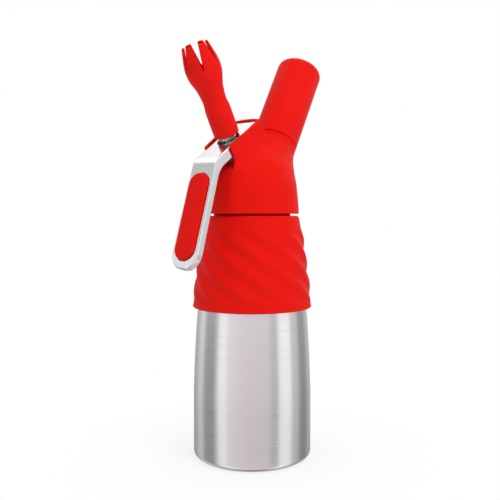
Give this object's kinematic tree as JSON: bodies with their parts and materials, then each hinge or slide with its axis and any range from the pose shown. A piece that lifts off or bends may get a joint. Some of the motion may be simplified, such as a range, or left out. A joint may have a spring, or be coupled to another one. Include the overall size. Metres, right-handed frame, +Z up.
{
  "type": "whipped cream dispenser",
  "caption": "Steel bottle with a swirled sleeve, a hooded squeeze-lever valve, a petalled tulip nozzle and a screw-on gas charger holder, both leaning out from the head.",
  "frame": {"origin": "centre of the bottle's flat foot, on the surface that it stands on", "axes": "+Z up the bottle; +X towards the charger holder; -X towards the lever and the nozzle; y = 0 is the plane through all three"},
  "size_m": [0.1411, 0.0822, 0.2828],
  "materials": {
    "brushed_steel": "brushed round the bottle",
    "satin_metal": "satin",
    "polished_steel": "polished",
    "red_silicone": "matte",
    "red_plastic": "satin",
    "pale_rubber": "matte",
    "black_rubber": "matte"
  },
  "bodies": {
    "bottle": {"bottle": "brushed_steel", "bottle_sleeve": "red_silicone"},
    "gasket": {"head_gasket": "pale_rubber"},
    "head": {"head_core": "satin_metal", "head_cover": "red_silicone", "guide_bush": "red_plastic", "stem_seal": "black_rubber", "valve_spring": "polished_steel", "lever_pin": "polished_steel", "charger_port": "polished_steel", "piercing_pin": "polished_steel", "port_seal": "black_rubber", "check_sleeve": "black_rubber"},
    "lever": {"lever": "satin_metal", "lever_pad": "red_silicone"},
    "valve": {"valve_stem": "polished_steel", "poppet_seal": "black_rubber", "poppet_nut": "polished_steel"},
    "nozzle_ring": {"nozzle_seal": "pale_rubber"},
    "nozzle": {"nozzle": "red_plastic", "nozzle_adapter": "polished_steel"},
    "charger": {"gas_charger": "polished_steel"},
    "holder": {"holder_cup": "satin_metal", "holder_grip": "red_plastic", "holder_cushion": "pale_rubber"}
  },
  "joints": [
    {"name": "head_lift", "type": "slide", "parent": "bottle", "child": "gasket", "axis": [0, 0, 1], "range_m": [0, 0.0165]},
    {"name": "head_turn", "type": "hinge", "parent": "gasket", "child": "head", "pos_m": [0, 0, 0.189], "axis": [0, 0, 1], "range_deg": [0, 1080.1]},
    {"name": "lever_pivot", "type": "hinge", "parent": "head", "child": "lever", "pos_m": [-0.00931, 0, 0.22283], "axis": [0, -1, 0], "range_deg": [0, 8]},
    {"name": "valve_travel", "type": "slide", "parent": "head", "child": "valve", "axis": [0.5, 0, -0.866], "range_m": [0, 0.0023], "stiffness_N_per_m": 2000, "springref_m": -0.002, "deforming": ["valve_spring"]},
    {"name": "nozzle_lift", "type": "slide", "parent": "valve", "child": "nozzle_ring", "axis": [-0.5, 0, 0.866], "range_m": [0, 0.008]},
    {"name": "nozzle_turn", "type": "hinge", "parent": "nozzle_ring", "child": "nozzle", "pos_m": [-0.03075, 0, 0.22696], "axis": [-0.5, 0, 0.866], "range_deg": [0, 1440.1]},
    {"name": "holder_advance", "type": "slide", "parent": "head", "child": "charger", "axis": [0.4924, 0, 0.8704], "range_m": [0, 0.0075]},
    {"name": "holder_turn", "type": "hinge", "parent": "charger", "child": "holder", "pos_m": [0.03939, 0, 0.24333], "axis": [0.4924, 0, 0.8704], "range_deg": [0, 1080.1]}
  ],
  "couplings": [
    {"joint": "head_turn", "follows": "head_lift", "rad_per_m": 1142.4},
    {"joint": "lever_pivot", "follows": "valve_travel", "rad_per_m": 60.606},
    {"joint": "nozzle_turn", "follows": "nozzle_lift", "rad_per_m": 3141.6},
    {"joint": "holder_turn", "follows": "holder_advance", "rad_per_m": 2513.3}
  ]
}
